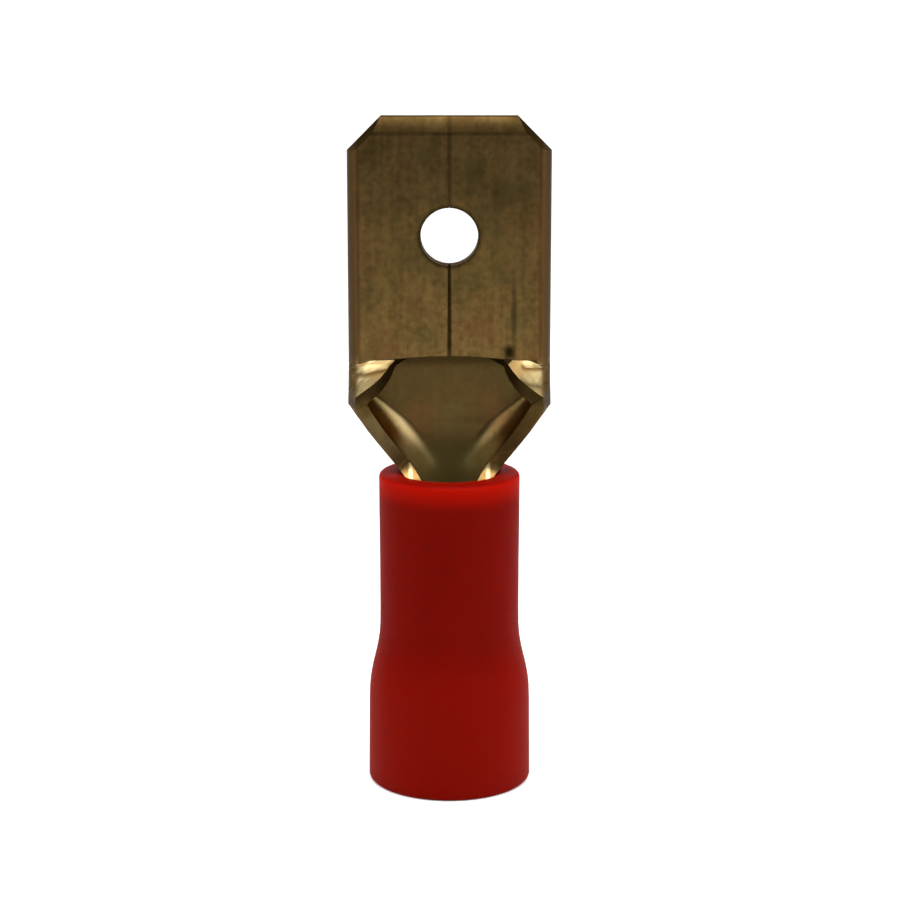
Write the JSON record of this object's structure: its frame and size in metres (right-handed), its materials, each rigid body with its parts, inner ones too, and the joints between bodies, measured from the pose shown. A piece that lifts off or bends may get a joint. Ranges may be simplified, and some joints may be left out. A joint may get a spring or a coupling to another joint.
{
  "type": "male spade terminal",
  "caption": "Male spade terminal: folded brass tab with a detent hole, open trough neck and rolled crimp barrel in a flared red vinyl sleeve.",
  "frame": {"origin": "centre of the sleeve's open end, which the terminal stands on", "axes": "+Z from the wire entry to the tip of the tab, +X across the tab's width, the tab's seam faces -Y"},
  "size_m": [0.0064, 0.0052, 0.021],
  "materials": {
    "brass": "rolled and lightly tarnished",
    "red_vinyl": "moulded, satin"
  },
  "bodies": {
    "root": {"terminal_body": "brass", "insulator_sleeve": "red_vinyl"}
  },
  "joints": []
}
